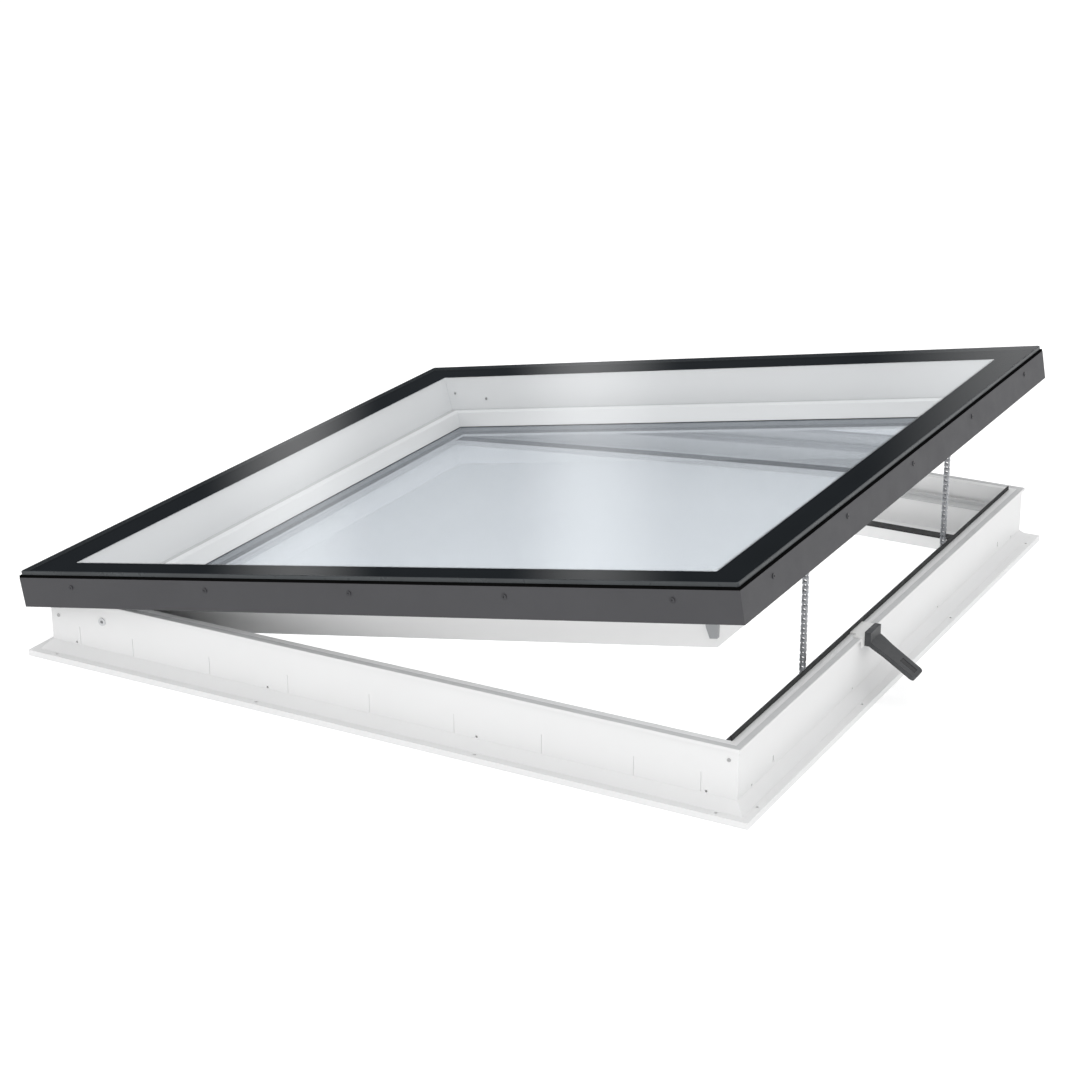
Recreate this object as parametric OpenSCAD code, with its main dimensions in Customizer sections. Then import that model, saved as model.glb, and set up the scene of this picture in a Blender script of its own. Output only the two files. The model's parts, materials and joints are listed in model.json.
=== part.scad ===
// Opening roof skylight: a kerb with a hinged, glazed leaf, two chain actuators and a rain sensor.
// X runs along the hinge, Y from the opening side to the hinge, Z up.
// The origin is the centre of the kerb's underside, where the kerb rests on the roof.
// Every section is drawn as [inset, height]: inset grows from the kerb's outer wall inward.
// Leaf parts are drawn shut and then swung open about the hinge pins.

/* [Opening] */
// Clear opening along the hinge
clear_w = 1200; // [1100:10:1500]
// Clear opening across the hinge
clear_d = 1200; // [1100:10:1500]
// How far the leaf stands open
open_angle = 9.85; // [6:0.05:10]

/* [Kerb] */
// Height of the kerb from its underside to its rim
kerb_h = 124; // [120:1:132]
// Wall thickness of the kerb's hollow profile
kerb_wall = 4; // [3:0.5:5]
// How far the fixing flange stands out from the wall
flange_out = 34.5; // [30:0.5:60]
// Thickness of the fixing flange
flange_t = 12; // [8:1:14]

/* [Leaf] */
// Thickness of the flat cover glass
cover_glass_t = 8; // [6:1:10]
// Height of the aluminium skirt round the leaf
skirt_h = 58; // [50:1:60]
// Thickness of the skirt's sheet
skirt_t = 2.5; // [2:0.5:3]
// Thickness of the double glazing's upper pane
upper_pane_t = 4; // [4:1:6]
// Thickness of the double glazing's laminated lower pane
lower_pane_t = 8; // [6:1:8]

/* [Actuators and hinges] */
// Distance of each chain from the middle of the kerb
chain_x = 354; // [300:1:400]
// Aimed length of one chain link
chain_pitch_aim = 9; // [8:0.5:10]
// Distance of each hinge from the middle of the kerb
hinge_x = 430; // [350:5:480]
// Radius of the hinge pins
hinge_pin_r = 3.5; // [3:0.5:4]
// Radial clearance of pins and shafts in their bores
fit = 0.05; // [0.02:0.01:0.1]

/* [Rain sensor] */
// Place of the rain sensor along the front wall
sensor_x = -163; // [-200:1:-100]
// Angle of the sensor arm below the horizontal
sensor_tilt = 32; // [20:1:40]
// Length of the sensor arm
sensor_l = 104; // [90:1:110]

/* [Hidden] */
$fn = 48;
eps = 0.01;

// kerb levels and insets
kerb_t = 117;                          // wall face to clear opening
outer_w = clear_w + 2 * kerb_t;
outer_d = clear_d + 2 * kerb_t;
rim_w = 22;                            // width of the rim
lip_out = 4.5;                         // the rim's drip lip
lip_h = 6;
ledge_z = kerb_h - 44;                 // upper ledge, which carries the upper seal
ledge_in = 64;
toe_z = 25;                            // lower ledge, which carries the lower seal
foot_out = 18.5;                       // sloping foot above the flange
foot_top = flange_t + 18;
web_z = ledge_z - kerb_wall;
rim_groove_h = 2;

// fixings in the kerb
flange_hole_r = 3;
flange_hole_out = 24;                  // outside the wall
flange_hole_far = 27;                  // from the corner of the wall
foot_hole_r = 2.5;
foot_hole_z = foot_top + 3.5;
foot_hole_end = 57;                    // from the corner of the wall
slit_w = 1.2;
slit_h = 36;
corner_screw_end = 17;
corner_screw_r = 1.6;
corner_head_r = 3.4;
corner_head_h = 1.2;
corner_screw_z = [81, 100];            // at the hinge end and at the opening end
front_slot_end = 144;                  // oval drain slots in the front wall
front_slot_z = 45;
front_slot_r = 2.4;
front_slot_h = 12;
cable_end = 122;                       // supply cable's inlet, from the hinge end
cable_z = 88;
cable_bore_r = 3.2;
grommet_r = 6;
grommet_rim_r = 8;
grommet_rim_h = 1.8;
grommet_tail = 1.5;

// seals
rim_seal = [-3, 8, kerb_h - rim_groove_h, kerb_h + 0.6];
upper_seal_base = [23, 62, ledge_z, ledge_z + 2.5];
upper_seal_bulb = [28, 38, ledge_z + 2.5, ledge_z + 9.6];
lower_seal = [90, 116, toe_z, toe_z + 3];

// leaf levels, shut
sash_z0 = toe_z + 3.5;                 // underside of the sash
sash_in = 79;
sash_lip_in = 112;
sash_web = 9;
lip_z = sash_z0 + 10.5;                // ledge that carries the glazing
flange_z0 = ledge_z + 10;
flange_z1 = ledge_z + 20;              // top of the sash
flange_in = 27;
gasket_t = 3;
lower_pane_z = lip_z + gasket_t;
spacer_z = lower_pane_z + lower_pane_t;
spacer_h = 16;
upper_pane_z = spacer_z + spacer_h;
upper_gasket_z = upper_pane_z + upper_pane_t;
upper_gasket_t = 1.5;
bead_z = upper_gasket_z + upper_gasket_t;
bead_in = 100;
pane_in = 89.5;                        // edge of the double glazing
spacer_in = 104;
bead_foot_in = sash_in + 5;
bead_rise = 7;
bead_chamfer = 2;
guide_y = 637;                         // guide blocks, toward the opening side
guide_t = 8;
guide_outline = [[-7, 47], [7, 47], [11, 67], [11, 86], [-11, 86], [-11, 67]];

// cover frame, skirt and cover glass, shut
cover_z = flange_z1;
cover_top = kerb_h + 46.5;             // top of the cover frame and of the skirt
seal_t = 4.5;
glass_z = cover_top + seal_t;
glass_top = glass_z + cover_glass_t;
glass_out = 33.7;
glass_bevel = 1.2;
glass_seal_inset = 0.5;                // black seal, inside the skirt's outer face
skirt_out = 36.7;
skirt_z = cover_top - skirt_h;
skirt_lip = 7;
skirt_screw_z = cover_top - 17.8;
skirt_screw_r = 2;
skirt_head_r = 4.75;
skirt_in = skirt_out - skirt_t;        // inner face of the skirt, outside the wall
lining_foot_in = 58;
lining_top_in = 41;
lining_t = 3.5;
lining_lean = (lining_foot_in - lining_top_in) / (glass_z - cover_z);
cover_wall = 3;                        // cover frame's foot and outer leg
cover_top_t = 6;
cover_leg = 40;
foot_strip = [lining_foot_in + 1, lining_foot_in + 13, cover_z, cover_z + 2];
lining_screw_at = [[649, 139], [564, 125]];   // along the side and up, shut
lining_screw_r = 1.55;
lining_head_r = 3;
lining_head_h = 1;
skirt_head_h = 1.6;
skirt_grip = 3;                        // screw beyond the skirt's sheet
socket_r = 1.9;                        // hexagon sockets in screw heads
corner_socket_r = 1.3;

// hinge
hinge_in = 25;
hinge_y = outer_d / 2 - hinge_in;
hinge_z = kerb_h + 24.7;
hinge_w = 100;
knuckle_r = 7;
knuckle_w = 26;                        // the middle knuckle
knuckle_gap = 0.6;
side_knuckle_w = 22;
hinge_leaf_t = 3;
hinge_leaf_drop = 32;                  // down the rim's inner face
hinge_leaf_out = 8.5;                  // start of the leaf on the rim
hinge_screw_x = 34;
hinge_screw_z = kerb_h - 18;
hinge_screw_r = 2;
hinge_head_r = 3.6;
hinge_head_h = 1.4;
sash_leaf_w = 60;
sash_leaf_z = cover_top - 9;
sash_leaf_in = hinge_in - 30;
sash_leaf_hole_x = 20;

// chain and actuator
chain_y = -outer_d / 2 + 43;
sprocket_z = 52;
sprocket_teeth = 8;
eye_z_shut = ledge_z;                  // height of the eye pin with the leaf shut
eye_y_shut = hinge_y + (chain_y - hinge_y - (eye_z_shut - hinge_z) * sin(open_angle)) / cos(open_angle);
eye_z = hinge_z - (eye_y_shut - hinge_y) * sin(open_angle) + (eye_z_shut - hinge_z) * cos(open_angle);
chain_links = round((eye_z - sprocket_z) / chain_pitch_aim);
chain_pitch = (eye_z - sprocket_z) / chain_links;
sprocket_r = chain_pitch / (2 * sin(180 / sprocket_teeth));
plate_r = 4.2;
plate_waist = 6;
plate_t = 1.4;
roller_r = 2;
inner_gap = 4.4;                       // between a link's inner plates
chain_w = inner_gap + 4 * plate_t;
eye_pin_r = 2.8;
eye_block = [10, 11, 0.6];             // across, along the chain, and thicker than the chain by
cheek_x = 6.8;                         // chain bracket's cheeks, from the chain's middle
cheek_t = 2.5;
cheek_half_y = 5.5;
chain_plate = [60, 28, 3];             // chain bracket's plate
slot_half_x = 11;
slot_in = [26, 52];
housing_in = [27, 59];
housing_z = [10, ledge_z - 6];
housing_len = 258;
housing_start = -20;                   // from the chain, away from the middle
housing_wall = 2;
shaft_r = 3;
tooth_top = 0.9;                       // teeth beyond the pitch circle
sprocket_t = 3.4;
housing_hole = 16;                     // square hole that the chain leaves by
worm_box = [30, 27, 40];               // gearbox, motor and motor cap
worm_x = 34;
worm_z = 26;
motor_r = 12.5;
motor_len = 118;
motor_z = 40;
cap_r = 4;
cap_len = 8;
control_w = 120;
control_h = 50;
core_gap = 0.5;                        // foam to profile
core_room = 2;                         // foam to actuator

// rain sensor
bracket_w = 72;
bracket_t = 2.4;
hub_w = 48;
hub_t = 12;
hub_h = 27;
hub_y = -outer_d / 2 - lip_out - bracket_t;
hub_z = kerb_h - 17;
arm_w = 42;
arm_t = 9;
arm_in_hub = 4;
arm_up = 6;                            // above the hub's underside
arm_root_l = 34;                       // from the hub to where the arm is narrow
tip_r = 8;
pad_l = 34;
pad_w = 16;
pad_end = 8;                           // from the arm's tip
pad_deep = 1.6;
pad_t = 1;
pad_gap = 0.3;
bracket_gap = 0.6;                     // over the rim seal
bracket_drop = 24;
bracket_notch = 14;
sensor_screw_x = 14;
sensor_screw_z = kerb_h - 4;
sensor_screw_r = 1.5;

// fastener places along a side, as fractions of that side's half length
SKIRT_SCREWS = [-0.88, -0.44, 0, 0.44, 0.88];
SLITS = [-0.907, -0.733, -0.487, -0.244, 0, 0.244, 0.487, 0.733, 0.907];
SIDES = ["front", "right", "back", "left"];

// ---- placing ----

// Half length of a side, between the kerb's outer walls.
function half_side(side) = (side == "front" || side == "back") ? outer_w / 2 : outer_d / 2;

// Puts what is drawn for a side (X along it, +Y inward from the outer wall) in its place.
module on_side(side) {
  if (side == "front") translate([0, -outer_d / 2, 0]) children();
  if (side == "right") translate([outer_w / 2, 0, 0]) rotate(90) children();
  if (side == "back") translate([0, outer_d / 2, 0]) rotate(180) children();
  if (side == "left") translate([-outer_w / 2, 0, 0]) rotate(-90) children();
}

// Swings shut-drawn leaf parts open about the hinge pins.
module swung_open() {
  translate([0, hinge_y, hinge_z]) rotate([-open_angle, 0, 0]) translate([0, -hinge_y, -hinge_z]) children();
}

// A bar along X with its section in [inset, height].
module bar(section, len) {
  rotate([90, 0, 90]) translate([0, 0, -len / 2]) linear_extrude(len) polygon(section);
}

// The same bar with both ends mitred at the frame's corners.
module mitred_bar(section, half) {
  reach = 60;
  depth = 140;
  intersection() {
    bar(section, 2 * (half + reach));
    translate([0, 0, -10]) linear_extrude(kerb_h + 120)
      polygon([[-half - reach, -reach], [half + reach, -reach],
               [half - depth, depth], [-half + depth, depth]]);
  }
}

// A block between two insets and two heights, all the way round: [inset0, inset1, z0, z1].
module frame_ring(r) {
  difference() {
    frame_slab(r[0], r[2], r[3]);
    frame_slab(r[1], r[2] - 1, r[3] + 1);
  }
}

// A rectangular slab whose edge lies at one inset.
module frame_slab(inset, z0, z1) {
  translate([-outer_w / 2 + inset, -outer_d / 2 + inset, z0])
    cube([outer_w - 2 * inset, outer_d - 2 * inset, z1 - z0]);
}

function box_points(i0, i1, z0, z1) = [[i0, z0], [i1, z0], [i1, z1], [i0, z1]];

// ---- kerb ----

KERB = [
  [-flange_out, 0], [-flange_out, flange_t], [-foot_out, flange_t], [0, foot_top], [0, kerb_h - lip_h],
  [-lip_out, kerb_h - lip_h], [-lip_out, kerb_h], [rim_seal[0], kerb_h], [rim_seal[0], rim_seal[2]],
  [rim_seal[1], rim_seal[2]], [rim_seal[1], kerb_h], [rim_w, kerb_h], [rim_w, ledge_z],
  [ledge_in, ledge_z], [ledge_in, toe_z], [kerb_t, toe_z], [kerb_t, 0]];
MAIN_CHAMBER = box_points(kerb_wall, ledge_in - kerb_wall, kerb_wall, web_z);
RIM_CHAMBER = box_points(kerb_wall, rim_w - kerb_wall, ledge_z, kerb_h - kerb_wall - rim_groove_h);
TOE_CHAMBER = box_points(ledge_in, kerb_t - kerb_wall, kerb_wall, toe_z - kerb_wall);

module kerb_side(side) {
  half = half_side(side);
  color("white") on_side(side) difference() {
    mitred_bar(KERB, half);
    for (chamber = [MAIN_CHAMBER, RIM_CHAMBER, TOE_CHAMBER]) bar(chamber, 3 * half);
    for (s = [-1, 1]) {
      for (x = [half - flange_hole_far, (half - flange_hole_far) / 3])
        translate([s * x, -flange_hole_out, -1]) cylinder(r = flange_hole_r, h = flange_t + 2);
      for (x = [half - foot_hole_end, (half - foot_hole_end) / 3])
        foot_hole(s * x, kerb_wall + 2);
    }
    if (side == "front") {
      for (s = [-1, 1]) {
        translate([s * (half - front_slot_end), -1, front_slot_z]) rotate([-90, 0, 0])
          oval_slot(front_slot_r, front_slot_h, kerb_wall + 2);
        translate([s * chain_x - slot_half_x, slot_in[0], web_z - 1])
          cube([2 * slot_half_x, slot_in[1] - slot_in[0], kerb_wall + 2]);
      }
    }
    if (side == "left" || side == "right") {
      for (f = SLITS) translate([f * half - slit_w / 2, -1, foot_top + 1]) cube([slit_w, 2, slit_h]);
      for (s = [-1, 1]) corner_screw_place(side, s, half)
        rotate([-90, 0, 0]) cylinder(r = corner_screw_r + fit, h = 2 * kerb_wall + 2, center = true);
    }
    if (side == "left") grommet_place(half) rotate([-90, 0, 0])
      cylinder(r = grommet_r, h = 2 * kerb_wall + 2, center = true);
  }
}

module foot_hole(x, depth) {
  translate([x, -1, foot_hole_z]) rotate([-90, 0, 0]) cylinder(r = foot_hole_r, h = depth);
}

// An upright rounded slot: radius r, full height h, cut to the given depth.
module oval_slot(r, h, depth) {
  linear_extrude(depth) union() {
    for (s = [-1, 1]) translate([0, s * (h / 2 - r)]) circle(r);
    square([2 * r, h - 2 * r], center = true);
  }
}

// On the left side +X runs to the front, on the right side to the hinge.
function toward_hinge(side) = side == "left" ? -1 : 1;

module corner_screw_place(side, end, half) {
  z = corner_screw_z[end == toward_hinge(side) ? 0 : 1];
  translate([end * (half - corner_screw_end), 0, z]) children();
}

module grommet_place(half) {
  translate([-half + cable_end, 0, cable_z]) children();
}

module kerb_corner_screws() {
  color("silver") for (side = ["left", "right"]) for (s = [-1, 1])
    on_side(side) corner_screw_place(side, s, half_side(side)) rotate([90, 0, 0]) {
      difference() {
        cylinder(r = corner_head_r, h = corner_head_h);
        translate([0, 0, corner_head_h / 3]) cylinder(r = corner_socket_r, h = corner_head_h, $fn = 6);
      }
      translate([0, 0, -kerb_wall]) cylinder(r = corner_screw_r, h = kerb_wall + eps);
    }
}

module cable_grommet() {
  color("lightgray") on_side("left") grommet_place(half_side("left")) rotate([90, 0, 0]) difference() {
    union() {
      cylinder(r = grommet_rim_r, h = grommet_rim_h);
      translate([0, 0, -kerb_wall - grommet_tail])
        cylinder(r = grommet_r, h = kerb_wall + grommet_tail + eps);
    }
    translate([0, 0, -kerb_wall - grommet_tail - 1]) cylinder(r = cable_bore_r, h = 3 * kerb_wall);
  }
}

// The insulating core of a side; the front core is cut away round the actuators and the control unit.
module insulation_side(side) {
  half = half_side(side);
  skin = kerb_wall + core_gap;
  core = box_points(skin, ledge_in - skin, skin, web_z - core_gap);
  color("whitesmoke") on_side(side) difference() {
    mitred_bar(core, half);
    if (side == "front") {
      for (s = [-1, 1]) mirror([s < 0 ? 1 : 0, 0, 0])
        translate([chain_x - housing_start - housing_len - core_room, housing_in[0] - 1, housing_z[0] - 1])
          cube([housing_len + 2 * core_room, ledge_in, kerb_h]);
      translate([-control_w / 2 - core_room, housing_in[0] - 1, housing_z[0] - 1])
        cube([control_w + 2 * core_room, ledge_in, kerb_h]);
    }
    for (s = [-1, 1]) for (x = [half - foot_hole_end, (half - foot_hole_end) / 3])
      foot_hole(s * x, 2 * kerb_wall);
  }
}

module kerb_front() kerb_side("front");
module kerb_back() kerb_side("back");
module kerb_left() kerb_side("left");
module kerb_right() kerb_side("right");
module insulation_front() insulation_side("front");
module insulation_back() insulation_side("back");
module insulation_left() insulation_side("left");
module insulation_right() insulation_side("right");

module rim_seal_strip() color("darkgray") frame_ring(rim_seal);

module upper_kerb_seal() {
  color("gray") difference() {
    union() {
      frame_ring(upper_seal_base);
      frame_ring(upper_seal_bulb);
    }
    for (s = [-1, 1]) translate([s * chain_x - 36, -outer_d / 2 + slot_in[0] - 0.5, ledge_z - 1])
      cube([72, slot_in[1] - slot_in[0] + 1, 20]);
  }
}

module lower_kerb_seal() color("black") frame_ring(lower_seal);

// ---- chain actuators, drawn with the chain on the Z axis and the housing running to +X ----

// Places a right-hand actuator, or its mirror image on the left.
module actuator_at(s) {
  mirror([s < 0 ? 1 : 0, 0, 0]) translate([chain_x, chain_y, 0]) mirror([1, 0, 0]) children();
}

module actuator_housing() {
  x0 = housing_start;
  w = housing_in[1] - housing_in[0];
  h = housing_z[1] - housing_z[0];
  color("silver") difference() {
    translate([x0, -w / 2, housing_z[0]]) cube([housing_len, w, h]);
    translate([x0 + housing_wall, -w / 2 + housing_wall, housing_z[0] + housing_wall])
      cube([housing_len - 2 * housing_wall, w - 2 * housing_wall, h - 2 * housing_wall]);
    translate([-housing_hole / 2, -housing_hole / 2, housing_z[1] - housing_wall - 1])
      cube([housing_hole, housing_hole, housing_wall + 2]);
    translate([sprocket_r, 0, sprocket_z]) rotate([90, 0, 0])
      cylinder(r = shaft_r + fit, h = w + 2, center = true);
  }
}

module gear_motor() {
  color("dimgray") union() {
    translate([worm_x, -worm_box[1] / 2, worm_z]) cube(worm_box);
    translate([worm_x + worm_box[0] - 1, 0, motor_z]) rotate([0, 90, 0]) {
      cylinder(r = motor_r, h = motor_len);
      translate([0, 0, motor_len - 1]) cylinder(r = cap_r, h = cap_len);
    }
  }
}

module sprocket() {
  color("gray") translate([sprocket_r, 0, sprocket_z]) rotate([90, 0, 0]) {
    linear_extrude(sprocket_t, center = true) difference() {
      circle(sprocket_r + tooth_top);
      for (i = [0 : sprocket_teeth - 1]) rotate(180 + i * 360 / sprocket_teeth)
        translate([sprocket_r, 0]) circle(roller_r + 0.4);
    }
    cylinder(r = shaft_r, h = housing_in[1] - housing_in[0] - 0.4, center = true);
  }
}

// Side plates of every second link, in the XZ plane.
module plate_row(first) {
  for (i = [first : 2 : chain_links - 1]) translate([0, i * chain_pitch]) polygon(PLATE);
}

// A plate's outline: round ends about both pins, joined by the straight waist.
PLATE = concat(
  [for (a = [-135 : 15 : -45]) [plate_r * cos(a), plate_r * sin(a)]],
  [[plate_r, 0], [plate_waist / 2, plate_r],
   [plate_waist / 2, chain_pitch - plate_r], [plate_r, chain_pitch]],
  [for (a = [45 : 15 : 135]) [plate_r * cos(a), chain_pitch + plate_r * sin(a)]],
  [[-plate_r, chain_pitch], [-plate_waist / 2, chain_pitch - plate_r],
   [-plate_waist / 2, plate_r], [-plate_r, 0]]);

module chain() {
  color("silver") translate([0, 0, sprocket_z]) rotate([90, 0, 0]) difference() {
    union() {
      for (s = [-1, 1]) {
        for (row = [0, 1]) translate([0, 0, s * (inner_gap + (1 + 2 * row) * plate_t) / 2])
          linear_extrude(plate_t, center = true) plate_row(row);
      }
      for (i = [0 : chain_links - 1]) translate([0, i * chain_pitch, 0])
        cylinder(r = roller_r, h = chain_w + 0.4, center = true);
      translate([0, chain_links * chain_pitch, 0])
        cube([eye_block[0], eye_block[1], chain_w + eye_block[2]], center = true);
    }
    translate([0, chain_links * chain_pitch, 0]) rotate([0, 90, 0])
      cylinder(r = eye_pin_r + fit, h = 20, center = true);
  }
}

module control_unit() {
  color("dimgray") translate([-control_w / 2, -outer_d / 2 + housing_in[0], housing_z[0]])
    cube([control_w, housing_in[1] - housing_in[0], control_h]);
}

module left_actuator_housing() actuator_at(-1) actuator_housing();
module right_actuator_housing() actuator_at(1) actuator_housing();
module left_gear_motor() actuator_at(-1) gear_motor();
module right_gear_motor() actuator_at(1) gear_motor();
module left_sprocket() actuator_at(-1) sprocket();
module right_sprocket() actuator_at(1) sprocket();
module left_chain() actuator_at(-1) chain();
module right_chain() actuator_at(1) chain();

// The swivelling end of each chain: a plate under the sash with two cheeks and a pin.
module chain_brackets() {
  plate_z = flange_z0 - chain_plate[2];
  drop = plate_z - eye_z_shut + cheek_half_y;
  color("silver") swung_open() for (s = [-1, 1]) translate([s * chain_x, eye_y_shut, 0]) {
    translate([-chain_plate[0] / 2, -cheek_half_y, plate_z]) cube(chain_plate);
    for (c = [-1, 1]) translate([c * cheek_x - cheek_t / 2, -cheek_half_y, plate_z - drop])
      cube([cheek_t, 2 * cheek_half_y, drop + eps]);
    translate([0, 0, eye_z_shut]) rotate([0, 90, 0])
      cylinder(r = eye_pin_r, h = 2 * cheek_x + eps, center = true);
  }
}

// ---- hinges, drawn for the back side ----

KERB_LEAF = [
  [hinge_leaf_out, kerb_h], [rim_w, kerb_h], [rim_w, kerb_h - hinge_leaf_drop],
  [rim_w + hinge_leaf_t, kerb_h - hinge_leaf_drop], [rim_w + hinge_leaf_t, hinge_z],
  [rim_w - hinge_leaf_t, hinge_z], [rim_w - hinge_leaf_t, kerb_h + hinge_leaf_t],
  [hinge_leaf_out, kerb_h + hinge_leaf_t]];

module knuckle(len) {
  rotate([90, 0, 90]) translate([hinge_in, hinge_z, 0]) cylinder(r = knuckle_r, h = len, center = true);
}

module hinge_bore() {
  rotate([90, 0, 90]) translate([hinge_in, hinge_z, 0])
    cylinder(r = hinge_pin_r + fit, h = 2 * hinge_w, center = true);
}

module hinge_kerb_leaf() {
  side_x = (knuckle_w + side_knuckle_w) / 2;
  color("silver") difference() {
    union() {
      bar(KERB_LEAF, hinge_w);
      for (s = [-1, 1]) translate([s * side_x, 0, 0]) knuckle(side_knuckle_w);
    }
    translate([-knuckle_w / 2 - knuckle_gap, 0, kerb_h + 6]) cube([knuckle_w + 2 * knuckle_gap, 60, 60]);
    hinge_bore();
    for (s = [-1, 1]) translate([s * hinge_screw_x, rim_w - 1, hinge_screw_z]) rotate([-90, 0, 0])
      cylinder(r = hinge_screw_r + fit, h = 2 * hinge_leaf_t);
  }
}

module hinge_sash_leaf() {
  face = hinge_in + hinge_leaf_t / 2;
  color("silver") difference() {
    union() {
      knuckle(knuckle_w);
      bar(box_points(hinge_in - hinge_leaf_t / 2, face, hinge_z, sash_leaf_z + eps), knuckle_w);
      bar(box_points(sash_leaf_in, face, sash_leaf_z, sash_leaf_z + hinge_leaf_t), sash_leaf_w);
    }
    hinge_bore();
    for (s = [-1, 1]) translate([s * sash_leaf_hole_x, sash_leaf_in + sash_leaf_w / 6, sash_leaf_z - 1])
      cylinder(r = hinge_screw_r + fit, h = 2 * hinge_leaf_t);
  }
}

module hinge_at(s) {
  on_side("back") translate([s * hinge_x, 0, 0]) children();
}

module left_hinge_kerb_leaf() hinge_at(1) hinge_kerb_leaf();
module right_hinge_kerb_leaf() hinge_at(-1) hinge_kerb_leaf();
module left_hinge_sash_leaf() swung_open() hinge_at(1) hinge_sash_leaf();
module right_hinge_sash_leaf() swung_open() hinge_at(-1) hinge_sash_leaf();

module hinge_pins() {
  color("silver") for (s = [-1, 1]) hinge_at(s) rotate([90, 0, 90]) translate([hinge_in, hinge_z, 0])
    cylinder(r = hinge_pin_r, h = knuckle_w + 2 * side_knuckle_w, center = true);
}

// Screws through the kerb leaf into the rim.
module hinge_screws() {
  color("silver") for (s = [-1, 1]) hinge_at(s) for (x = [-hinge_screw_x, hinge_screw_x])
    translate([x, rim_w + hinge_leaf_t, hinge_screw_z]) rotate([-90, 0, 0]) {
      cylinder(r = hinge_head_r, h = hinge_head_h);
      translate([0, 0, -hinge_leaf_t]) cylinder(r = hinge_screw_r, h = hinge_leaf_t + eps);
    }
}

// ---- rain sensor on the front wall ----

bracket_z = kerb_h + bracket_gap;
SENSOR_BRACKET = [
  [-lip_out - bracket_t, hub_z], [-lip_out, hub_z], [-lip_out, bracket_z], [rim_w, bracket_z],
  [rim_w, kerb_h - bracket_drop], [rim_w + bracket_t, kerb_h - bracket_drop],
  [rim_w + bracket_t, bracket_z + bracket_t],
  [-lip_out - bracket_t, bracket_z + bracket_t]];

module sensor_bracket() {
  color("white") on_side("front") translate([sensor_x, 0, 0]) difference() {
    bar(SENSOR_BRACKET, bracket_w);
    translate([-bracket_w, 10, kerb_h]) cube([bracket_w / 2 + bracket_notch, 40, 20]);
    for (s = [-1, 1]) translate([s * sensor_screw_x, -20, sensor_screw_z]) rotate([-90, 0, 0])
      cylinder(r = sensor_screw_r + 0.1, h = 16);
  }
}

// Draws in the arm's own axes: X across, Y out along the arm, Z square to its face.
module on_arm() {
  translate([sensor_x, hub_y - hub_t + arm_in_hub, hub_z + arm_up]) rotate([sensor_tilt, 0, 0])
    mirror([0, 1, 0]) children();
}

// Half of the arm's outline: the wide root at the hub, then the narrower arm with a rounded tip.
ARM_HALF = concat([[hub_w / 2, 0], [hub_w / 2, hub_t], [arm_w / 2, arm_root_l]],
  [for (a = [0 : 15 : 90]) [arm_w / 2 - tip_r + tip_r * cos(a), sensor_l - tip_r + tip_r * sin(a)]]);
ARM = concat(ARM_HALF, [for (i = [len(ARM_HALF) - 1 : -1 : 0]) [-ARM_HALF[i][0], ARM_HALF[i][1]]]);

module sensor_housing() {
  color("dimgray") difference() {
    union() {
      translate([sensor_x - hub_w / 2 - 0.5, hub_y - hub_t, hub_z]) cube([hub_w + 1, hub_t, hub_h]);
      on_arm() linear_extrude(arm_t, center = true) polygon(ARM);
    }
    on_arm() translate([-pad_w / 2, sensor_l - pad_l - pad_end, arm_t / 2 - pad_deep])
      cube([pad_w, pad_l, arm_t]);
  }
}

module sensor_pad() {
  color("black") on_arm()
    translate([-pad_w / 2 + pad_gap, sensor_l - pad_l - pad_end + pad_gap, arm_t / 2 - pad_deep])
      cube([pad_w - 2 * pad_gap, pad_l - 2 * pad_gap, pad_t]);
}

// Screws from inside the bracket into the sensor's hub.
module sensor_screws() {
  color("silver") for (s = [-1, 1])
    translate([sensor_x + s * sensor_screw_x, hub_y + bracket_t, sensor_screw_z]) rotate([90, 0, 0])
      cylinder(r = sensor_screw_r, h = bracket_t);
}

// ---- sash and double glazing ----

SASH = [
  [sash_in, sash_z0], [sash_lip_in, sash_z0], [sash_lip_in, lip_z], [sash_in + sash_web, lip_z],
  [sash_in + sash_web, flange_z1], [flange_in, flange_z1], [flange_in, flange_z0], [sash_in, flange_z0]];
BEAD = [
  [sash_in + sash_web, bead_z], [bead_in, bead_z], [bead_in, flange_z1 + bead_rise - bead_chamfer],
  [bead_in - bead_chamfer, flange_z1 + bead_rise], [bead_foot_in, flange_z1 + bead_rise],
  [bead_foot_in, flange_z1], [sash_in + sash_web, flange_z1]];

module sash_side(side) color("white") swung_open() on_side(side) mitred_bar(SASH, half_side(side));
module bead_side(side) color("white") swung_open() on_side(side) mitred_bar(BEAD, half_side(side));
module sash_front() sash_side("front");
module sash_back() sash_side("back");
module sash_left() sash_side("left");
module sash_right() sash_side("right");
module bead_front() bead_side("front");
module bead_back() bead_side("back");
module bead_left() bead_side("left");
module bead_right() bead_side("right");

module upper_pane() color("lightcyan") swung_open() frame_slab(pane_in, upper_pane_z, upper_gasket_z);
module lower_pane() color("lightcyan") swung_open() frame_slab(pane_in, lower_pane_z, spacer_z);
module pane_spacer() color("dimgray") swung_open() frame_ring([pane_in, spacer_in, spacer_z, upper_pane_z]);
module upper_glazing_gasket() color("black") swung_open()
  frame_ring([pane_in, bead_in - 1, upper_gasket_z, bead_z]);
module lower_glazing_gasket() color("black") swung_open()
  frame_ring([pane_in, sash_lip_in - 1, lip_z, lower_pane_z]);

// Wedges that centre the shutting leaf between the side walls.
module guide_blocks() {
  color("darkgray") swung_open() for (side = ["left", "right"])
    on_side(side) translate([-toward_hinge(side) * guide_y, sash_in, 0]) rotate([90, 0, 0])
      linear_extrude(guide_t) polygon(guide_outline);
}

// ---- cover frame, skirt and cover glass ----

function lining_face(z) = lining_foot_in - lining_lean * (z - cover_z);

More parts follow.
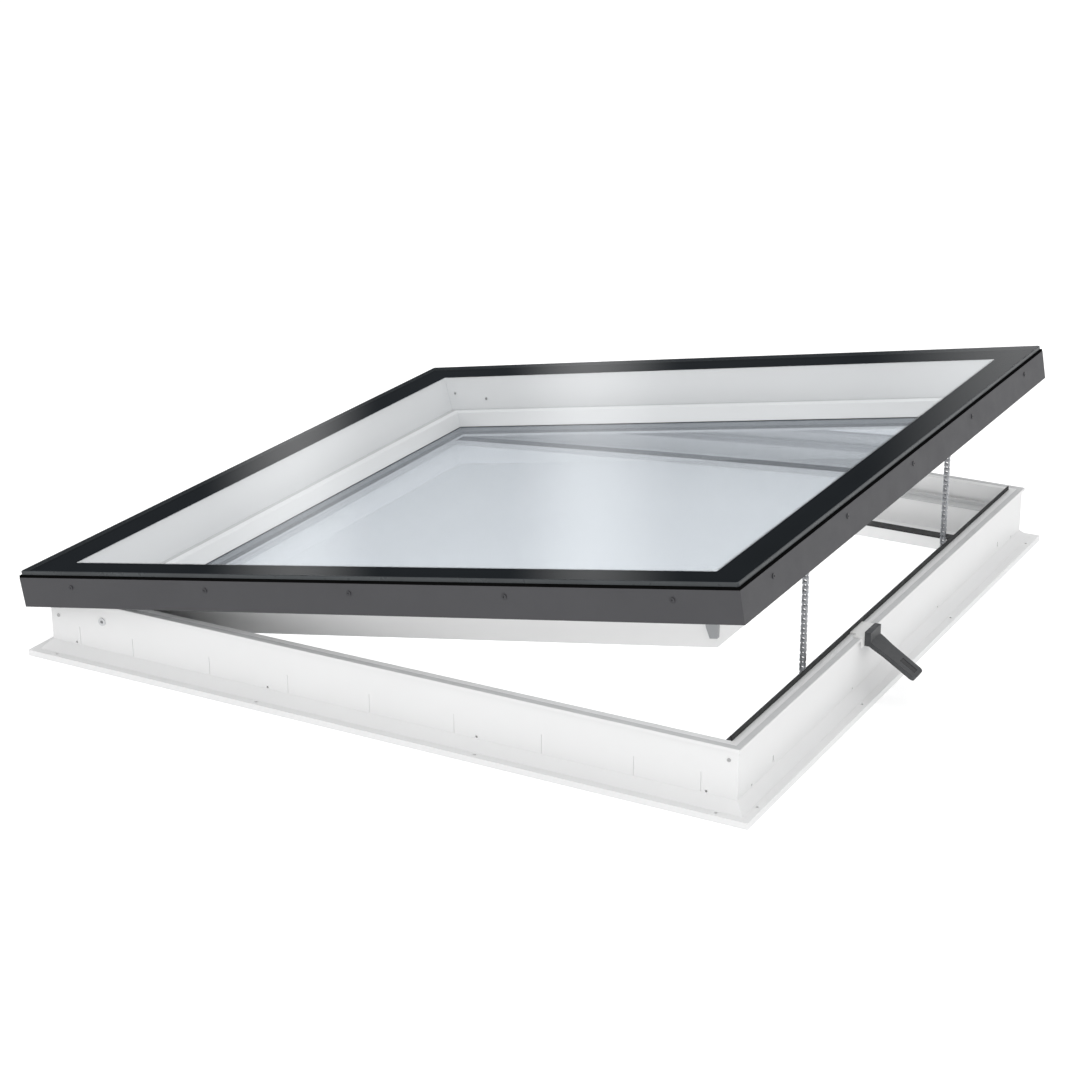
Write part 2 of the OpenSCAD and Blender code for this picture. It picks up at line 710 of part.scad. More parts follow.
COVER_FRAME = [
  [flange_in, cover_z], [lining_foot_in, cover_z], [lining_top_in, glass_z],
  [lining_top_in - lining_t, glass_z], [lining_top_in - lining_t, cover_top],
  [-skirt_in, cover_top], [-skirt_in, cover_top - cover_leg],
  [-skirt_in + cover_wall, cover_top - cover_leg], [-skirt_in + cover_wall, cover_top - cover_top_t],
  [lining_face(cover_top - cover_top_t) - lining_t, cover_top - cover_top_t],
  [lining_face(cover_z + cover_wall) - lining_t, cover_z + cover_wall], [flange_in, cover_z + cover_wall]];
SKIRT = [
  [-skirt_out, skirt_z], [-skirt_out + skirt_lip, skirt_z], [-skirt_out + skirt_lip, skirt_z + skirt_t],
  [-skirt_in, skirt_z + skirt_t], [-skirt_in, cover_top], [-skirt_out, cover_top]];

module skirt_screw_holes(half) {
  for (f = SKIRT_SCREWS) translate([f * half, -skirt_out - 1, skirt_screw_z]) rotate([-90, 0, 0])
    cylinder(r = skirt_screw_r + fit, h = skirt_t + 5);
}

// Places of the small screws on the linings of the left and right sides, near the hinge.
module lining_screw_places(side) {
  lean = atan(lining_lean);
  for (p = lining_screw_at) translate([toward_hinge(side) * p[0], lining_face(p[1]), p[1]])
    rotate([lean - 90, 0, 0]) children();
}

module cover_frame_side(side) {
  half = half_side(side);
  color("white") swung_open() on_side(side) difference() {
    mitred_bar(COVER_FRAME, half);
    skirt_screw_holes(half);
    if (side == "left" || side == "right")
      lining_screw_places(side) cylinder(r = lining_screw_r + fit, h = 20, center = true);
  }
}

module skirt_side(side) {
  half = half_side(side);
  color("dimgray") swung_open() on_side(side) difference() {
    mitred_bar(SKIRT, half);
    skirt_screw_holes(half);
  }
}

module cover_frame_front() cover_frame_side("front");
module cover_frame_back() cover_frame_side("back");
module cover_frame_left() cover_frame_side("left");
module cover_frame_right() cover_frame_side("right");
module skirt_front() skirt_side("front");
module skirt_back() skirt_side("back");
module skirt_left() skirt_side("left");
module skirt_right() skirt_side("right");

module skirt_screws() {
  color("dimgray") swung_open() for (side = SIDES) on_side(side)
    for (f = SKIRT_SCREWS) translate([f * half_side(side), -skirt_out, skirt_screw_z]) rotate([90, 0, 0]) {
      difference() {
        cylinder(r = skirt_head_r, h = skirt_head_h);
        translate([0, 0, skirt_head_h / 3]) cylinder(r = socket_r, h = skirt_head_h, $fn = 6);
      }
      translate([0, 0, -skirt_t - skirt_grip]) cylinder(r = skirt_screw_r, h = skirt_t + skirt_grip + eps);
    }
}

module lining_screws() {
  color("silver") swung_open() for (side = ["left", "right"]) on_side(side) lining_screw_places(side) {
    cylinder(r = lining_head_r, h = lining_head_h);
    translate([0, 0, -lining_t + 0.3]) cylinder(r = lining_screw_r, h = lining_t);
  }
}

module cover_glass_seal() color("black") swung_open()
  frame_ring([-skirt_out + glass_seal_inset, lining_top_in - lining_t - 0.2, cover_top, glass_z]);

module lining_foot_strip() color("gray") swung_open() frame_ring(foot_strip);

module cover_glass() {
  edge = -glass_out;
  color("lightcyan") swung_open() difference() {
    frame_slab(edge, glass_z, glass_top);
    for (side = SIDES) on_side(side)
      bar([[edge - 1, glass_top - glass_bevel - 1], [edge + glass_bevel + 1, glass_top + 1],
           [edge - 1, glass_top + 1]], 3 * half_side(side));
  }
}

kerb_front();
kerb_back();
kerb_left();
kerb_right();
insulation_front();
insulation_back();
insulation_left();
insulation_right();
rim_seal_strip();
upper_kerb_seal();
lower_kerb_seal();
kerb_corner_screws();
cable_grommet();
left_actuator_housing();
right_actuator_housing();
left_gear_motor();
right_gear_motor();
left_sprocket();
right_sprocket();
left_chain();
right_chain();
control_unit();
left_hinge_kerb_leaf();
right_hinge_kerb_leaf();
hinge_pins();
hinge_screws();
sensor_bracket();
sensor_housing();
sensor_pad();
sensor_screws();
left_hinge_sash_leaf();
right_hinge_sash_leaf();
sash_front();
sash_back();
sash_left();
sash_right();
bead_front();
bead_back();
bead_left();
bead_right();
upper_pane();
pane_spacer();
lower_pane();
upper_glazing_gasket();
lower_glazing_gasket();
cover_frame_front();
cover_frame_back();
cover_frame_left();
cover_frame_right();
skirt_front();
skirt_back();
skirt_left();
skirt_right();
cover_glass();
cover_glass_seal();
lining_foot_strip();
skirt_screws();
lining_screws();
chain_brackets();
guide_blocks();
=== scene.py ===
import json
import math

import bmesh
import bpy
from mathutils import Matrix, Vector


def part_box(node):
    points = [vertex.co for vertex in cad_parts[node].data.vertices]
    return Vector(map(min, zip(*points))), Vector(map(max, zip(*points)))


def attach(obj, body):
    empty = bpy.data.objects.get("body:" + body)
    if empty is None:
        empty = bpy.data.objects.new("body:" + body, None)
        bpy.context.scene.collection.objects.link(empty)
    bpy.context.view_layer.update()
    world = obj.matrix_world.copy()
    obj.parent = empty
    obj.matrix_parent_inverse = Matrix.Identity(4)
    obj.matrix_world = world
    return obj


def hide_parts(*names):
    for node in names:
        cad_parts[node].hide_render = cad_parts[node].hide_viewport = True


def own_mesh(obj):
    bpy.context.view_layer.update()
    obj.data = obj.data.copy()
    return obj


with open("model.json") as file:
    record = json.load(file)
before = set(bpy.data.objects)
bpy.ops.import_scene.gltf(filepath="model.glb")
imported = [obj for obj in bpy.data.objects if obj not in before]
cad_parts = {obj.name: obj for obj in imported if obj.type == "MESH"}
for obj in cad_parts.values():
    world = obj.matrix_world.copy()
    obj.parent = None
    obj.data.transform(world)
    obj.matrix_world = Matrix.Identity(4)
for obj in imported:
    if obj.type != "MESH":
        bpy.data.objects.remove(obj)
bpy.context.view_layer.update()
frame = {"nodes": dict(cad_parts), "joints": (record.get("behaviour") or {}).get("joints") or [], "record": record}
nodes = frame["nodes"]
scene = bpy.context.scene

# ---- sizes, in metres and degrees ----
KERB_HALF = 0.717           # half the kerb's side, as in the part's source
KERB_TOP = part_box("kerb_front")[1].z
RIM_W = 0.022               # the kerb's rim, from its outer face to its inner wall

GLASS_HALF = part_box("cover_glass")[1].x
GLASS_Z0, GLASS_Z1 = 0.175, 0.183       # the cover glass's faces when shut
GLASS_CORNER, GLASS_BEVEL = 0.004, 0.0012
EDGE_SKIN = 0.0002          # thickness of the polished edge's band
ENAMEL_Z0, ENAMEL_Z1 = GLASS_Z0 + 0.00002, GLASS_Z0 + 0.0003
ABOVE_ENAMEL = GLASS_Z0 + 0.00035
BORDER_W, BORDER_CORNER, BORDER_SETBACK = 0.0732, 0.006, 0.0008
DOT_STEP, DOT_ROW_STEP, DOT_SIZES = 0.0024, 0.0021, (0.00085, 0.00065, 0.0004)

LINKS = 29
LINK_R, LINK_WAIST, LINK_PLATE = 0.0042, 0.0031, 0.0013
INNER_PLATE_Y, OUTER_PLATE_Y = 0.0029, 0.0043
PIN_R, PIN_HALF, ROLLER_R, ROLLER_HALF = 0.0017, 0.0054, 0.0032, 0.0021
END_BLOCK = 0.0055          # half the height of the block at the chain's top
CHAIN_EDGE = 0.0003         # bevel on plates, pins and rollers

LIP_H, LIP_W, LIP_ROOT, LIP_ROUND = 0.008, 0.0032, 0.012, 0.001

hinge = next(joint for joint in frame["joints"] if joint["name"] == "leaf_hinge")
AT_HINGE = Matrix.Translation(hinge["pos_m"])
OPENING = math.radians(hinge["range_deg"][0])
SHUT_TO_OPEN = AT_HINGE @ Matrix.Rotation(OPENING, 4, "X") @ AT_HINGE.inverted()


# ---- shader helpers ----
def noise(tree, scale, detail, rough=0.5, stretch=(1, 1, 1)):
    n = tree.nodes.new("ShaderNodeTexNoise")
    n.inputs["Scale"].default_value = scale
    n.inputs["Detail"].default_value = detail
    n.inputs["Roughness"].default_value = rough
    coords = tree.nodes.new("ShaderNodeTexCoord").outputs["Object"]
    if tuple(stretch) != (1, 1, 1):
        mapping = tree.nodes.new("ShaderNodeMapping")
        mapping.inputs["Scale"].default_value = stretch
        tree.links.new(coords, mapping.inputs["Vector"])
        coords = mapping.outputs["Vector"]
    tree.links.new(coords, n.inputs["Vector"])
    return n.outputs["Fac"]


def ramp(tree, fac, *stops, interpolation="LINEAR"):
    n = tree.nodes.new("ShaderNodeValToRGB")
    n.color_ramp.interpolation = interpolation
    while len(n.color_ramp.elements) < len(stops):
        n.color_ramp.elements.new(0.5)
    for element, (position, color) in zip(n.color_ramp.elements, stops):
        element.position = position
        element.color = (*color, 1)
    tree.links.new(fac, n.inputs["Fac"])
    return n.outputs["Color"]


def spread(tree, fac, low, high, out_low, out_high):
    n = tree.nodes.new("ShaderNodeMapRange")
    n.inputs["From Min"].default_value = low
    n.inputs["From Max"].default_value = high
    n.inputs["To Min"].default_value = out_low
    n.inputs["To Max"].default_value = out_high
    tree.links.new(fac, n.inputs["Value"])
    return n.outputs["Result"]


def bump(tree, bsdf, height, strength, distance):
    n = tree.nodes.new("ShaderNodeBump")
    n.inputs["Strength"].default_value = strength
    n.inputs["Distance"].default_value = distance
    tree.links.new(height, n.inputs["Height"])
    tree.links.new(n.outputs["Normal"], bsdf.inputs["Normal"])


def maths(tree, operation, first, second):
    """A Math node's result. first and second are other nodes' outputs or plain numbers."""
    n = tree.nodes.new("ShaderNodeMath")
    n.operation = operation
    for value, socket in zip((first, second), n.inputs):
        if isinstance(value, float):
            socket.default_value = value
        else:
            tree.links.new(value, socket)
    return n.outputs[0]


def mixed(tree, fac, first, second):
    """A Mix Shader's result: first where fac is 0 and second where it is 1."""
    n = tree.nodes.new("ShaderNodeMixShader")
    for value, socket in zip((fac, first, second), n.inputs):
        tree.links.new(value, socket)
    return n.outputs[0]


def bsdf_of(tree, kind, color, **values):
    n = tree.nodes.new("ShaderNodeBsdf" + kind)
    n.inputs["Color"].default_value = (*color, 1)
    for socket, value in values.items():
        n.inputs[socket].default_value = value
    return n.outputs[0]


def grey(value):
    return (value, value, value)


# ---- materials ----
def mottled(name, color, vary, rough, rough_vary, scale, grain, grain_depth, grain_strength,
            metallic=0.0, specular=0.5, stretch=(1, 1, 1)):
    """A colour that drifts a little over the surface, an uneven gloss and a fine grain."""
    m = bpy.data.materials.new(name)
    m.use_nodes = True
    t = m.node_tree
    b = t.nodes["Principled BSDF"]
    b.inputs["Metallic"].default_value = metallic
    b.inputs["Specular IOR Level"].default_value = specular
    low = tuple(c * (1 - vary) for c in color)
    high = tuple(min(1.0, c * (1 + vary * 0.6)) for c in color)
    t.links.new(ramp(t, noise(t, scale, 5.0, 0.6), (0.3, low), (0.7, high)), b.inputs["Base Color"])
    cloudy = noise(t, scale * 3.1, 4.0, 0.65)
    t.links.new(spread(t, cloudy, 0.3, 0.7, rough - rough_vary, rough + rough_vary), b.inputs["Roughness"])
    bump(t, b, noise(t, grain, 2.0, 0.5, stretch), grain_strength, grain_depth)
    return m


# painted sky reflection on the coated panes: its pale colour, and how steeply it fades away from low angles
PAINTED_SKY_SHEEN, PAINTED_SHEEN_POWER = (0.355, 0.378, 0.405), 3.0


def glass(name, tint, ior, gloss=(1, 1, 1), painted_sheen=False, bend=1.0):
    """Clear flat glass that lets lamp light through whole. Its outer faces mirror by angle. A coated pane carries
    a painted sky reflection, a pale diffuse colour at low angles. The view through it bends a little where bend is
    over 1."""
    m = bpy.data.materials.new(name)
    m.use_nodes = True
    t = m.node_tree
    t.nodes.remove(t.nodes["Principled BSDF"])
    face = t.nodes.new("ShaderNodeNewGeometry")
    front = maths(t, "SUBTRACT", 1.0, face.outputs["Backfacing"])
    seen = bsdf_of(t, "Transparent", tint)
    if bend > 1.0:
        seen = mixed(t, front, seen, bsdf_of(t, "Refraction", tint, Roughness=0.0, IOR=bend))
    # painted reflection: a pale diffuse colour stands in for the sky mirrored in the coating, blended in at low
    # angles on front faces
    if painted_sheen:
        weight = t.nodes.new("ShaderNodeLayerWeight")
        weight.inputs["Blend"].default_value = 0.5
        steep = maths(t, "POWER", weight.outputs["Facing"], PAINTED_SHEEN_POWER)
        seen = mixed(t, maths(t, "MULTIPLY", steep, front), seen, bsdf_of(t, "Diffuse", PAINTED_SKY_SHEEN))
    fresnel = t.nodes.new("ShaderNodeFresnel")
    fresnel.inputs["IOR"].default_value = ior
    mirror = maths(t, "MULTIPLY", fresnel.outputs["Fac"], front)
    seen = mixed(t, mirror, seen, bsdf_of(t, "Glossy", gloss, Roughness=0.0))
    path = t.nodes.new("ShaderNodeLightPath")
    lamp = maths(t, "MAXIMUM", path.outputs["Is Shadow Ray"], path.outputs["Is Diffuse Ray"])
    surface = mixed(t, lamp, seen, bsdf_of(t, "Transparent", (1, 1, 1)))
    t.links.new(surface, t.nodes["Material Output"].inputs["Surface"])
    return m


# the numbers after each colour: how far it drifts, the roughness and how far that drifts, the drift's scale,
# then the grain's scale, depth and strength
MATERIALS = {
    "white_pvc": mottled("white_pvc", (0.775, 0.777, 0.778), 0.015, 0.34, 0.05, 3.0, 260.0, 0.00006, 0.12),
    "foam_core": mottled("foam_core", (0.9, 0.9, 0.88), 0.04, 0.9, 0.05, 40.0, 220.0, 0.0006, 0.6),
    "grey_skirt": mottled("grey_skirt", (0.064, 0.064, 0.069), 0.05, 0.5, 0.04, 6.0, 900.0, 0.00004, 0.3,
                          specular=0.25),
    "grey_seal": mottled("grey_seal", (0.58, 0.585, 0.59), 0.06, 0.72, 0.06, 14.0, 700.0, 0.00008, 0.35),
    "black_seal": mottled("black_seal", (0.014, 0.014, 0.015), 0.2, 0.62, 0.08, 12.0, 700.0, 0.00008, 0.35),
    "plated_screw": mottled("plated_screw", grey(0.45), 0.12, 0.34, 0.08, 60.0, 1800.0, 0.00002, 0.3,
                            metallic=1.0),
    "dark_screw": mottled("dark_screw", (0.045, 0.045, 0.05), 0.15, 0.42, 0.06, 80.0, 1500.0, 0.00002, 0.3,
                          metallic=0.3),
    "grommet_white": mottled("grommet_white", (0.62, 0.63, 0.64), 0.04, 0.55, 0.05, 50.0, 900.0, 0.00004,
                             0.3),
    "actuator_metal": mottled("actuator_metal", (0.7, 0.71, 0.72), 0.05, 0.38, 0.06, 8.0, 900.0, 0.00003, 0.3,
                              metallic=1.0, stretch=(0.04, 1, 1)),
    "motor_grey": mottled("motor_grey", (0.13, 0.13, 0.14), 0.08, 0.6, 0.06, 20.0, 900.0, 0.00004, 0.3),
    "chain_steel": mottled("chain_steel", (0.40, 0.41, 0.43), 0.2, 0.34, 0.08, 90.0, 2000.0, 0.00002, 0.3,
                           metallic=0.9),
    "hinge_steel": mottled("hinge_steel", (0.6, 0.6, 0.61), 0.08, 0.36, 0.07, 30.0, 900.0, 0.00003, 0.3,
                           metallic=1.0),
    "sensor_white": mottled("sensor_white", (0.8, 0.8, 0.79), 0.02, 0.42, 0.05, 20.0, 900.0, 0.00004, 0.25),
    "sensor_dark": mottled("sensor_dark", (0.05, 0.052, 0.055), 0.1, 0.5, 0.06, 30.0, 1200.0, 0.00007, 0.4),
    "sensor_pad_black": mottled("sensor_pad_black", (0.012, 0.012, 0.013), 0.15, 0.16, 0.04, 60.0, 900.0,
                                0.00001, 0.1),
    "clear_glass": glass("clear_glass", (0.992, 0.996, 0.997), 1.2),
    "coated_glass": glass("coated_glass", (0.968, 0.98, 0.992), 1.1, (0.9, 0.93, 1.0), painted_sheen=True),
    "spacer_grey": mottled("spacer_grey", (0.15, 0.163, 0.173), 0.06, 0.5, 0.05, 30.0, 900.0, 0.00004, 0.3),
    "guide_grey": mottled("guide_grey", (0.3, 0.31, 0.32), 0.05, 0.5, 0.05, 30.0, 900.0, 0.00004, 0.3),
}
ENAMEL = mottled("black_enamel", (0.007, 0.0085, 0.010), 0.15, 0.9, 0.05, 6.0, 1200.0, 0.00001, 0.1,
                 specular=0.0)
POLISHED_EDGE = mottled("polished_glass_edge", (0.05, 0.056, 0.06), 0.2, 0.3, 0.06, 9.0, 900.0, 0.00002, 0.15,
                        specular=0.3)
GLASS_SEAL = mottled("black_glass_seal", grey(0.004), 0.2, 0.9, 0.05, 14.0, 700.0, 0.00005, 0.3, specular=0.0)
# painted light: a brighter copy of white_pvc for the lining and glazing beads inside the leaf, making up for the
# dimmer light in that hollow
PAINTED_LIGHT_PVC = mottled("white_pvc_painted_light", (0.805, 0.815, 0.825), 0.015, 0.34, 0.05, 3.0, 260.0, 0.00006, 0.12)
UPPER_PANE = glass("coated_glass_upper", (0.968, 0.98, 0.992), 1.1, (0.9, 0.93, 1.0), painted_sheen=True, bend=1.1)
SPECIAL = {"upper_pane": UPPER_PANE, "cover_glass_seal": GLASS_SEAL}


def pass_light(obj):
    """Lamp light passes a pane whole, as it does through thin clear glass."""
    obj.visible_shadow = False
    obj.visible_diffuse = False


for subpart in frame["record"]["subparts"]:
    name, slot = subpart["node"], subpart["material_slot"]
    # the lining and glazing beads take the brighter painted-light copy of white PVC
    painted_lift = PAINTED_LIGHT_PVC if name.startswith(("cover_frame_", "bead_")) else None
    nodes[name].data.materials.clear()
    nodes[name].data.materials.append(painted_lift or SPECIAL.get(name) or MATERIALS[slot])
    if slot in ("clear_glass", "coated_glass"):
        pass_light(nodes[name])


# ---- mesh helpers ----
def new_object(name, bm, mat, smooth_angle=None):
    data = bpy.data.meshes.new(name)
    bm.normal_update()
    bm.to_mesh(data)
    bm.free()
    obj = bpy.data.objects.new(name, data)
    scene.collection.objects.link(obj)
    data.materials.append(mat)
    if smooth_angle is not None:
        for polygon in data.polygons:
            polygon.use_smooth = True
        data.set_sharp_from_angle(angle=math.radians(smooth_angle))
    return obj


def slab(bm, x0, x1, y0, y1, z0, z1):
    v = [bm.verts.new((x, y, z)) for z in (z0, z1) for x, y in ((x0, y0), (x1, y0), (x1, y1), (x0, y1))]
    for f in ((3, 2, 1, 0), (4, 5, 6, 7), (0, 1, 5, 4), (1, 2, 6, 5), (2, 3, 7, 6), (3, 0, 4, 7)):
        bm.faces.new([v[i] for i in f])


def loft(bm, rings, flip=False, caps=True):
    """Joins each ring of points to the next, and closes the first and the last unless caps is off."""
    faces = []
    for a, b in zip(rings, rings[1:]):
        n = len(a)
        faces += [[a[i], a[(i + 1) % n], b[(i + 1) % n], b[i]] for i in range(n)]
    if caps:
        faces += [rings[-1], rings[0][::-1]]
    for face in faces:
        bm.faces.new(face[::-1] if flip else face)


def arc(radius, start, end, steps):
    """Points on an arc round the origin, angles in degrees."""
    angles = (math.radians(start + (end - start) * i / steps) for i in range(steps + 1))
    return [(radius * math.cos(a), radius * math.sin(a)) for a in angles]


# ---- cover glass: the clear plate, its polished edge and the black enamel border under it ----
def leaf_ring(bm, half, corner, z):
    """A rounded square of points on the leaf, given where it lies when shut and turned to the open place."""
    points = []
    for quarter, (sx, sy) in enumerate(((1, 1), (-1, 1), (-1, -1), (1, -1))):
        for x, y in arc(corner, 90 * quarter, 90 * quarter + 90, 6):
            points.append((sx * (half - corner) + x, sy * (half - corner) + y, z))
    return [bm.verts.new(SHUT_TO_OPEN @ Vector(p)) for p in points]


def cover_plate():
    bm = bmesh.new()
    side = GLASS_HALF - EDGE_SKIN
    shoulder = GLASS_Z1 - GLASS_BEVEL - EDGE_SKIN
    section = ((side, ABOVE_ENAMEL), (side, shoulder), (side - GLASS_BEVEL, GLASS_Z1))
    loft(bm, [leaf_ring(bm, half, GLASS_CORNER, z) for half, z in section])
    return new_object("cover_glass_plate", bm, MATERIALS["clear_glass"])


def polished_edge():
    """The cover glass's ground edge and its bevel, a thin closed band round the plate."""
    bm = bmesh.new()
    thin = EDGE_SKIN / 2
    drop = EDGE_SKIN / 4
    shoulder = GLASS_Z1 - GLASS_BEVEL
    section = ((0.0, ABOVE_ENAMEL), (0.0, shoulder), (GLASS_BEVEL, GLASS_Z1),
               (GLASS_BEVEL + thin, GLASS_Z1 - drop), (thin, shoulder - drop), (thin, ABOVE_ENAMEL))
    rings = [leaf_ring(bm, GLASS_HALF - cut, GLASS_CORNER, z) for cut, z in section]
    loft(bm, rings + rings[:1], caps=False)
    return new_object("cover_glass_edge", bm, POLISHED_EDGE)


def border():
    """The enamel frame printed under the glass, with a fringe of dots along its inner edge."""
    bm = bmesh.new()
    inner = GLASS_HALF - BORDER_W
    outer = GLASS_HALF - BORDER_SETBACK
    section = ((outer, GLASS_CORNER, ENAMEL_Z0), (outer, GLASS_CORNER, ENAMEL_Z1),
               (inner, BORDER_CORNER, ENAMEL_Z1), (inner, BORDER_CORNER, ENAMEL_Z0))
    rings = [leaf_ring(bm, half, corner, z) for half, corner, z in section]
    loft(bm, rings + rings[:1], caps=False)
    for row, size in enumerate(DOT_SIZES):
        line = inner - DOT_STEP / 2 - row * DOT_ROW_STEP
        length = 2 * (line - BORDER_CORNER)
        count = int(length / DOT_STEP)
        shift = DOT_STEP / 2 if row % 2 else 0.0
        for side in range(4):
            place = SHUT_TO_OPEN @ Matrix.Rotation(math.radians(90 * side), 4, "Z")
            for i in range(count + 1):
                x = shift - length / 2 + i * length / count
                dot = [Vector((x + dx, dy - line, ENAMEL_Z1)) for dx, dy in arc(size, 0, 300, 5)]
                bm.faces.new([bm.verts.new(place @ p) for p in dot])
    return new_object("cover_glass_border", bm, ENAMEL)


plate = cover_plate()
pass_light(plate)
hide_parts("cover_glass")
for piece in (plate, border(), polished_edge()):
    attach(piece, "leaf")


# ---- push chains: plates, pins and rollers, standing on the kerb ----
def tube(bm, x, y, z, half, radius, sides):
    """A pin or a roller along Y, with bevelled ends."""
    flat = half - CHAIN_EDGE
    section = ((-half, radius - CHAIN_EDGE), (-flat, radius), (flat, radius), (half, radius - CHAIN_EDGE))
    rings = []
    for dy, r in section:
        circle = arc(r, 0, 360 * (sides - 1) / sides, sides - 1)
        rings.append([bm.verts.new((x + dx, y + dy, z + dz)) for dx, dz in circle])
    loft(bm, rings, flip=True)


def link_plate(bm, x, y, low, pitch):
    """A waisted link plate between two pins, with bevelled edges."""
    middle = pitch / 2
    outline = [(px, pz - middle) for px, pz in arc(LINK_R, 180, 360, 10)] + [(LINK_WAIST, 0.0)]
    outline += [(px, pz + middle) for px, pz in arc(LINK_R, 0, 180, 10)] + [(-LINK_WAIST, 0.0)]
    half = LINK_PLATE / 2
    flat = half - CHAIN_EDGE
    rings = []
    for dy, cut in ((-half, CHAIN_EDGE), (-flat, 0.0), (flat, 0.0), (half, CHAIN_EDGE)):
        ring = []
        for px, pz in outline:
            shrink = 1 - cut / math.hypot(px, pz)
            ring.append(bm.verts.new((x + px * shrink, y + dy, low + middle + pz * shrink)))
        rings.append(ring)
    loft(bm, rings, flip=True)


def chain(name, node):
    corner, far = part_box(node)
    x, y = (corner.x + far.x) / 2, (corner.y + far.y) / 2
    foot, head = corner.z + LINK_R, far.z - END_BLOCK
    pitch = (head - foot) / LINKS
    bm = bmesh.new()
    for i in range(LINKS):
        low = foot + i * pitch
        out = OUTER_PLATE_Y if i % 2 else INNER_PLATE_Y
        for plate_y in (y - out, y + out):
            link_plate(bm, x, plate_y, low, pitch)
        tube(bm, x, y, low, PIN_HALF, PIN_R, 14)
        tube(bm, x, y, low, ROLLER_HALF, ROLLER_R, 16)
    slab(bm, corner.x, far.x, corner.y, far.y, head - END_BLOCK, head + END_BLOCK)
    obj = new_object(name, bm, MATERIALS["chain_steel"], 40)
    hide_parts(node)
    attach(obj, "kerb")
    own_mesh(obj)


chain("left_push_chain", "left_chain")
chain("right_push_chain", "right_chain")


# ---- black lip on the inner edge of the front rim, where the chains rise ----
def front_lip():
    bm = bmesh.new()
    reach = KERB_HALF - RIM_W - 0.0005
    wall = -KERB_HALF + RIM_W + 0.0003
    top, root = KERB_TOP + LIP_H, KERB_TOP - LIP_ROOT
    section = ((0.0, root), (0.0, top - LIP_ROUND), (LIP_ROUND, top), (LIP_W - LIP_ROUND, top),
               (LIP_W, top - LIP_ROUND), (LIP_W, root))
    loft(bm, [[bm.verts.new((x, wall + y, z)) for y, z in section] for x in (-reach, reach)])
    lip = new_object("front_rim_lip", bm, MATERIALS["black_seal"])
    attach(lip, "kerb")


front_lip()


# ---- floor, light and camera ----
def floor():
    bm = bmesh.new()
    slab(bm, -30, 30, -30, 30, -0.02, 0.0)
    m = bpy.data.materials.new("studio_floor")
    m.use_nodes = True
    t = m.node_tree
    b = t.nodes["Principled BSDF"]
    b.inputs["Roughness"].default_value = 0.9
    b.inputs["Specular IOR Level"].default_value = 0.1
    b.inputs["Emission Color"].default_value = (1, 1, 1, 1)
    b.inputs["Emission Strength"].default_value = 0.3
    t.links.new(ramp(t, noise(t, 0.8, 3.0), (0.3, grey(0.9)), (0.7, grey(0.915))), b.inputs["Base Color"])
    new_object("floor", bm, m)


STRIP_AXIS = (0.4865, -0.8229, 0.2935)
STRIPS = ((0.0, grey(0)), (0.22, grey(0)), (0.30, grey(0.66)), (0.37, grey(0)), (0.47, grey(0)),
          (0.54, grey(0.6)), (0.62, grey(0)), (0.76, grey(0)), (0.9, grey(0.6)), (1.0, grey(0.36)))
WALLS = ((0.0, (0.055, 0.062, 0.070)), (0.3, (0.07, 0.077, 0.085)), (0.7, grey(0.8)))


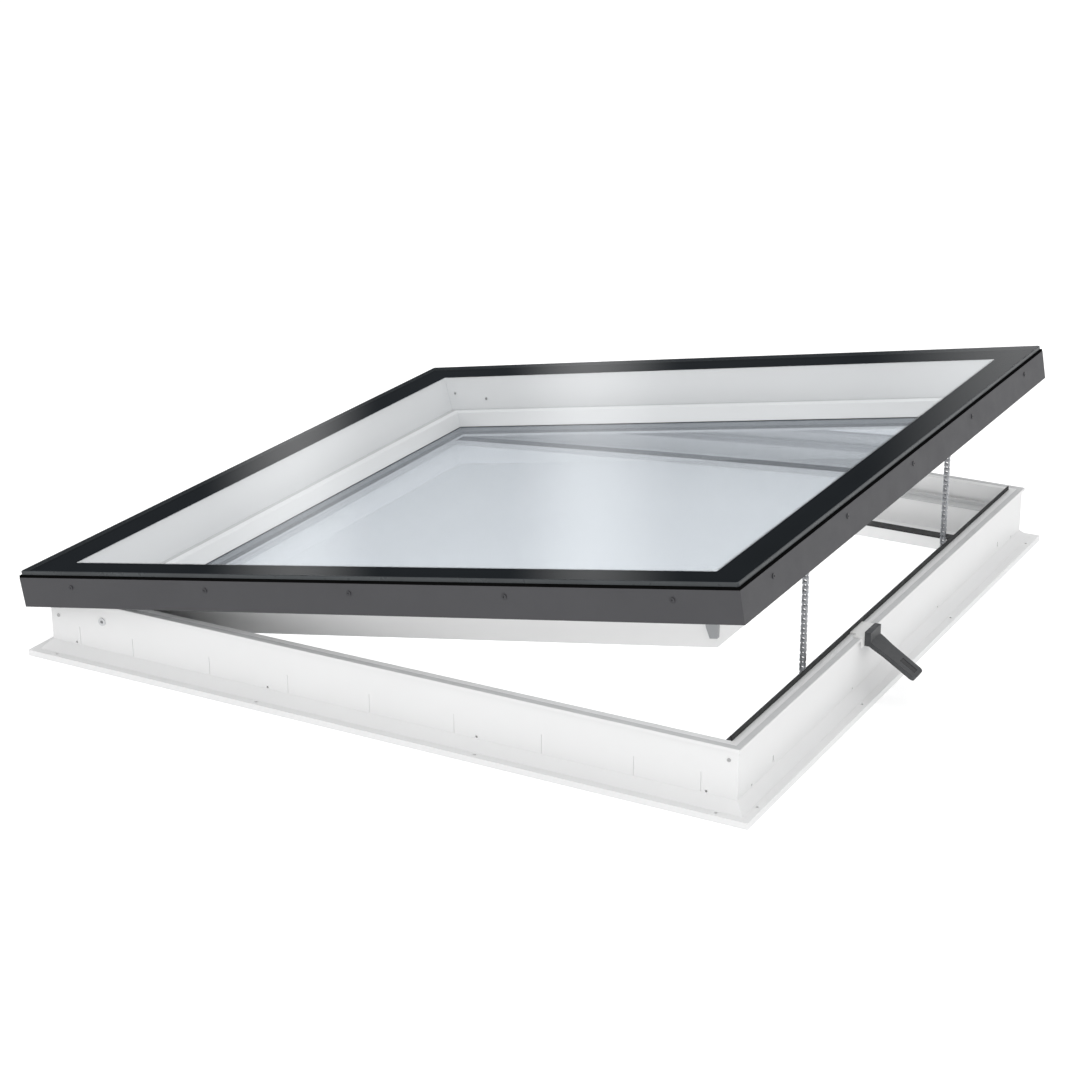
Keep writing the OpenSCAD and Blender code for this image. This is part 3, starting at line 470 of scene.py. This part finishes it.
def studio():
    """A white room, plain white to the eye and for light. Gloss sees darker walls with soft strips."""
    world = bpy.data.worlds.new("studio")
    scene.world = world
    world.use_nodes = True
    t = world.node_tree
    t.nodes.remove(t.nodes["Background"])
    way = t.nodes.new("ShaderNodeTexCoord").outputs["Generated"]

    def along(axis):
        n = t.nodes.new("ShaderNodeVectorMath")
        n.operation = "DOT_PRODUCT"
        n.inputs[1].default_value = axis
        t.links.new(way, n.inputs[0])
        return n.outputs["Value"]

    def room(strength):
        n = t.nodes.new("ShaderNodeBackground")
        n.inputs["Color"].default_value = (1, 1, 1, 1)
        n.inputs["Strength"].default_value = strength
        return n

    strips = ramp(t, spread(t, along(STRIP_AXIS), -0.25, 0.25, 0.0, 1.0), *STRIPS, interpolation="EASE")
    both = t.nodes.new("ShaderNodeMix")
    both.data_type = "RGBA"
    both.blend_type = "ADD"
    both.inputs["Factor"].default_value = 1.0
    t.links.new(ramp(t, along((0, 0, 1)), *WALLS), both.inputs["A"])
    t.links.new(strips, both.inputs["B"])
    mirrored = room(1.0)
    t.links.new(both.outputs["Result"], mirrored.inputs["Color"])
    path = t.nodes.new("ShaderNodeLightPath")
    light = mixed(t, path.outputs["Is Glossy Ray"], room(0.86).outputs[0], mirrored.outputs[0])
    surface = mixed(t, path.outputs["Is Camera Ray"], light, room(1.0).outputs[0])
    t.links.new(surface, t.nodes["World Output"].inputs["Surface"])


def softbox(name, at, target, size, watts):
    light = bpy.data.lights.new(name, "AREA")
    light.size = size
    light.energy = watts
    lamp = bpy.data.objects.new(name, light)
    scene.collection.objects.link(lamp)
    lamp.location = at
    lamp.rotation_mode = "QUATERNION"
    lamp.rotation_quaternion = (Vector(target) - Vector(at)).to_track_quat("-Z", "Y")


AZIMUTH, ELEVATION, ROLL = math.radians(-60.890064), math.radians(20.852829), math.radians(-0.342643)
LENS, SENSOR = 80.76091, 36             # millimetres
DISTANCE, AIM_HEIGHT = 4.852117, 0.1434
SHIFT_RIGHT, SHIFT_UP = -0.044183, -0.022799


def photo_camera():
    back = Vector((math.sin(AZIMUTH) * math.cos(ELEVATION), -math.cos(AZIMUTH) * math.cos(ELEVATION),
                   math.sin(ELEVATION)))
    right = Vector((math.cos(AZIMUTH), math.sin(AZIMUTH), 0))
    up = back.cross(right)
    spot = back * DISTANCE + right * SHIFT_RIGHT + up * SHIFT_UP + Vector((0, 0, AIM_HEIGHT))
    axes = (right * math.cos(ROLL) + up * math.sin(ROLL), up * math.cos(ROLL) - right * math.sin(ROLL), back)
    camera = bpy.data.objects.new("camera", bpy.data.cameras.new("camera"))
    scene.collection.objects.link(camera)
    camera.data.sensor_width = SENSOR
    camera.data.lens = LENS
    camera.data.clip_end = 200
    camera.matrix_world = Matrix.Translation(spot) @ Matrix(axes).transposed().to_4x4()
    scene.camera = camera


floor()
studio()
softbox("key", (-4.2, -1.9, 4.0), (0, 0, 0.1), 3.0, 54)
softbox("top", (0.5, 0.5, 4.5), (0, 0, 0), 4.0, 45)
photo_camera()
scene.view_settings.view_transform = "Standard"
